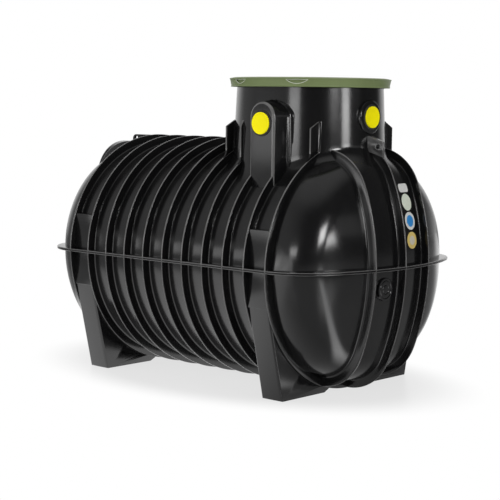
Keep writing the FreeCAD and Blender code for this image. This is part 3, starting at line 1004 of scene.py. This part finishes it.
class TANK_OT_labels(bpy.types.Operator):
    """Lay plain label films on the front end"""

    bl_idname = "tank.labels"
    bl_label = "Plain Labels"

    def execute(self, context):
        sizes = context.scene.tank_sizes
        white = label_film("label_white", (0.70, 0.70, 0.68, 1))
        green = label_film("label_green", (0.70, 0.75, 0.64, 1))
        blue = label_film("label_blue", (0.03, 0.25, 0.62, 1))
        gold = label_film("label_gold", (0.68, 0.52, 0.16, 1))
        pale = label_film("label_pale", (0.60, 0.56, 0.46, 1))
        across = sizes.end_rib_pitch / 2 + 0.013
        first, second, sunk, squash = 0.0010, 0.0014, -0.001, 0.95
        layers = (
            ("label_top_white", white, 1.116, 0.046, 0.024, first),
            ("label_pale_green", green, 1.040, 0.047, 0, first),
            ("label_ring_white", white, 0.940, 0.050, 0, first),
            ("label_blue_disc", blue, 0.940, 0.033, 0, second),
            ("label_gold_ring", gold, 0.836, 0.048, 0, first),
            ("label_gold_middle", pale, 0.836, 0.026, 0, second))
        for name, film, z, radius, tall, lift in layers:
            bm = label_blank(radius, tall)
            pulled(bm, (0, 0, 1))

            def on_wall(p):
                rise = (z + p.y * squash - FLANGE_Z) / UPPER_SQUEEZE
                height = lift if p.z > 0.5 else sunk
                point = end_point(sizes, across + p.x, rise, sizes.rib_height - height)
                return Vector((point.x, point.y, FLANGE_Z + UPPER_SQUEEZE * point.z))

            wrapped(bm, on_wall)
            place_piece(bm, name, film, [], sharp=60)
        return {"FINISHED"}


def seen_rays(wire):
    """Two wires: rays from the camera, and rays mirrored or let through by a surface."""
    straight = wire.node("ShaderNodeLightPath", out=0)
    mirrored = Wire(wire.tree, straight.socket.node.outputs["Is Glossy Ray"])
    through = Wire(wire.tree, straight.socket.node.outputs["Is Transmission Ray"])
    return straight, wire.math("MINIMUM", mirrored + through, 1.0)


def emission(wire, strength):
    return wire.node("ShaderNodeEmission", {}, {"Color": (1, 1, 1, 1), "Strength": strength})


def backdrop(wire, strength):
    return wire.node("ShaderNodeBackground", {}, {"Color": (1, 1, 1, 1), "Strength": strength})


def shared(wire, share, first, second):
    """A shader between first and second, by a share."""
    return wire.node("ShaderNodeMixShader", {}, {0: share, 1: first, 2: second})


def towards(wire, heading, direction):
    """How far a heading points in this direction, from -1 to 1."""
    return wire.node("ShaderNodeVectorMath", {"operation": "DOT_PRODUCT"}, {0: heading, 1: direction}, out=1)


def facing_light(wire, heading, direction, start, end, room, strength):
    """The room, lit at another strength in this direction."""
    share = towards(wire, heading, direction).between(start, end)
    return shared(wire, share, room, backdrop(wire, strength))


def floor_finish():
    """Pale satin floor, white to the camera clear of the tank, with a streak and a patch to the left that
    glow to mirrored rays only, standing in for lamps laid on the floor.
    """
    material, wire = finish_tree("pale_floor")
    place = wire.node("ShaderNodeTexCoord", out=3)
    cloud = noise(wire, place, scale=0.7).between(0.2, 0.8)
    pale = cloud.mixed((0.44, 0.44, 0.44, 1), (0.50, 0.50, 0.50, 1))
    satin = wire.node("ShaderNodeBsdfPrincipled", {}, {"Base Color": pale, "Roughness": 0.32})
    straight, mirrored = seen_rays(wire)
    stretched = wire.node("ShaderNodeVectorMath", {"operation": "MULTIPLY"}, {0: place, 1: (0.87, 1.39, 0)})
    away = wire.node("ShaderNodeVectorMath", {"operation": "LENGTH"}, {0: stretched}, out=1)
    whitened = away.between(0.92, 1.38) * 0.28 + 0.72
    ahead = wire.node("ShaderNodeSeparateXYZ", {}, {0: place}) - 1.0
    side = wire.node("ShaderNodeSeparateXYZ", {}, {0: place}, out=1)
    # A patch to the left glows to mirrored rays only: a light laid on the floor, seen only in reflections.
    left = (1.0 - ahead.between(-1.2, 0.2)) * ahead.between(-3.2, -2.6)
    ground = shared(wire, straight * whitened + mirrored * (left * 0.8 + 0.1), satin, emission(wire, 1.0))
    aside = wire.math("ABSOLUTE", side + ahead * 0.17 + 0.19, 0.0) / (ahead * 0.11 + 0.11)
    # The streak glows at 3.3 to mirrored rays only: a light laid on the floor, not part of the floor's own
    # colour.
    streak = (1.0 - aside.between(0.3, 1.2)) * ahead.between(-0.1, 0.15) * (1.0 - ahead.between(4.0, 9.0))
    surface(wire, shared(wire, mirrored * (streak + left * 0.3), ground, emission(wire, 3.3)))
    return material


def lay_floor(scene):
    bm = bmesh.new()
    bmesh.ops.create_grid(bm, x_segments=8, y_segments=8, size=30)
    mesh = bpy.data.meshes.new("floor")
    bm.to_mesh(mesh)
    bm.free()
    floor = bpy.data.objects.new("floor", mesh)
    scene.collection.objects.link(floor)
    mesh.materials.append(floor_finish())


def surround(scene):
    """A dim room that is brighter above and to the left, and white to the camera."""
    world = bpy.data.worlds.new("surroundings")
    scene.world = world
    world.use_nodes = True
    world.node_tree.nodes.clear()
    wire = Wire(world.node_tree)
    heading = wire.node("ShaderNodeTexCoord", out=0)
    room = backdrop(wire, 0.08)
    room = facing_light(wire, heading, (-0.6, -0.8, 0), 0.2, 0.9, room, 0.5)
    room = facing_light(wire, heading, (0, 0, 1), 0.7, 0.97, room, 0.6)
    straight, mirrored = seen_rays(wire)
    behind = towards(wire, heading, (-0.665, 0.747, 0)).between(0.55, 0.85)
    sky = shared(wire, straight + mirrored * behind, room, backdrop(wire, 1.0))
    wire.node("ShaderNodeOutputWorld", {}, {"Surface": sky})


# Each lamp: its name, place, target, width, height, brightness, and whether gloss mirrors it.
LAMPS = (
    ("window_low", (11.0, 0.85, 2.35), (0.5, 0.3, 1.5), 2.2, 1.1, 14.0, True),
    ("window_high", (11.0, -2.5, 4.1), (0.5, -0.5, 1.0), 2.6, 2.3, 18.0, True),
    ("window_side", (10.4, 4.0, 3.3), (0.5, 0.0, 1.2), 3.2, 1.8, 0.4, True),
    ("box_left", (-2.3, -5.2, 1.2), (0.6, 0.0, 1.2), 3.8, 0.8, 1.8, True),
    ("band_left", (0.0, -5.2, 0.75), (0.0, 0.0, 0.75), 4.0, 1.2, 1.8, True),
    ("slot_near", (2.0, -5.25, 1.88), (0.5, -0.35, 1.5), 1.5, 0.7, 6.5, True),
    ("fill_top", (0.0, -0.3, 5.4), (0.0, -0.3, 0.0), 4.0, 3.0, 1.5, False),
    ("fill_near", (6.5, -7.0, 4.5), (0.0, 0.0, 0.8), 4.0, 4.0, 3.6, False),
    ("fill_left", (-6.0, -6.5, 4.0), (0.0, 0.0, 1.2), 4.0, 4.0, 2.5, False),
)


def lamp(name, place, target, width, height, glow, mirrored):
    """A flat lamp, aimed at its target."""
    light = bpy.data.lights.new(name, "AREA")
    light.shape = "RECTANGLE"
    light.size = width
    light.size_y = height
    light.energy = math.pi * width * height * glow
    body = bpy.data.objects.new(name, light)
    aim = Vector(target) - Vector(place)
    body.matrix_world = Matrix.Translation(place) @ aim.to_track_quat("-Z", "Y").to_matrix().to_4x4()
    body.visible_camera = False
    body.visible_glossy = mirrored
    bpy.context.scene.collection.objects.link(body)


def photo_camera(scene):
    """The camera at the photo's angle."""
    azimuth, elevation, roll = (math.radians(v) for v in (41.669, 5.925, 0.697))
    target, distance = Vector((0.01514, 0, 0.7096)), 8.4244
    flat = math.cos(elevation)
    back = Vector((math.sin(azimuth) * flat, -math.cos(azimuth) * flat, math.sin(elevation)))
    level = Vector((math.cos(azimuth), math.sin(azimuth), 0))
    rise = back.cross(level)
    right = math.cos(roll) * level + math.sin(roll) * rise
    up = math.cos(roll) * rise - math.sin(roll) * level
    turn = Matrix((right, up, back)).transposed().to_4x4()
    turn.translation = target + back * distance
    view = bpy.data.cameras.new("photo_view")
    view.lens = 104.03
    view.sensor_width = 36
    view.clip_end = 100
    camera = bpy.data.objects.new("photo_view", view)
    camera.matrix_world = turn
    scene.collection.objects.link(camera)
    scene.camera = camera


class TANK_OT_stage(bpy.types.Operator):
    """Lay the pale floor and set the camera, the lamps and the white surroundings"""

    bl_idname = "tank.stage"
    bl_label = "Stage"

    def execute(self, context):
        scene = context.scene
        lay_floor(scene)
        surround(scene)
        for row in LAMPS:
            lamp(*row)
        photo_camera(scene)
        scene.view_settings.view_transform = "Standard"
        return {"FINISHED"}


class TANK_PT_panel(bpy.types.Panel):
    """List the tank's pieces, sizes and colours"""

    bl_idname = "TANK_PT_panel"
    bl_label = "Rainwater Tank"
    bl_space_type = "VIEW_3D"
    bl_region_type = "UI"
    bl_category = "Tank"

    def draw(self, context):
        layout = self.layout
        for group in (context.scene.tank_sizes, context.scene.tank_colours):
            for key in group.__annotations__:
                layout.prop(group, key)
        for operator in OPERATORS:
            layout.operator(operator.bl_idname)


OPERATORS = (TANK_OT_barrel, TANK_OT_ends, TANK_OT_flange, TANK_OT_shaft, TANK_OT_lid, TANK_OT_fins,
             TANK_OT_lugs, TANK_OT_feet, TANK_OT_inlets, TANK_OT_end_fittings, TANK_OT_labels, TANK_OT_stage)
CLASSES = (TankSizes, TankColours) + OPERATORS + (TANK_PT_panel,)


def register():
    for cls in CLASSES:
        bpy.utils.register_class(cls)
    bpy.types.Scene.tank_sizes = PointerProperty(type=TankSizes)
    bpy.types.Scene.tank_colours = PointerProperty(type=TankColours)


def unregister():
    del bpy.types.Scene.tank_colours
    del bpy.types.Scene.tank_sizes
    for cls in reversed(CLASSES):
        bpy.utils.unregister_class(cls)


def main():
    register()
    bpy.ops.tank.barrel()
    bpy.ops.tank.ends()
    bpy.ops.tank.flange()
    bpy.ops.tank.shaft()
    bpy.ops.tank.lid()
    bpy.ops.tank.fins()
    bpy.ops.tank.lugs()
    bpy.ops.tank.feet()
    bpy.ops.tank.inlets()
    bpy.ops.tank.end_fittings()
    bpy.ops.tank.labels()
    bpy.ops.tank.stage()


if __name__ == "__main__":
    main()
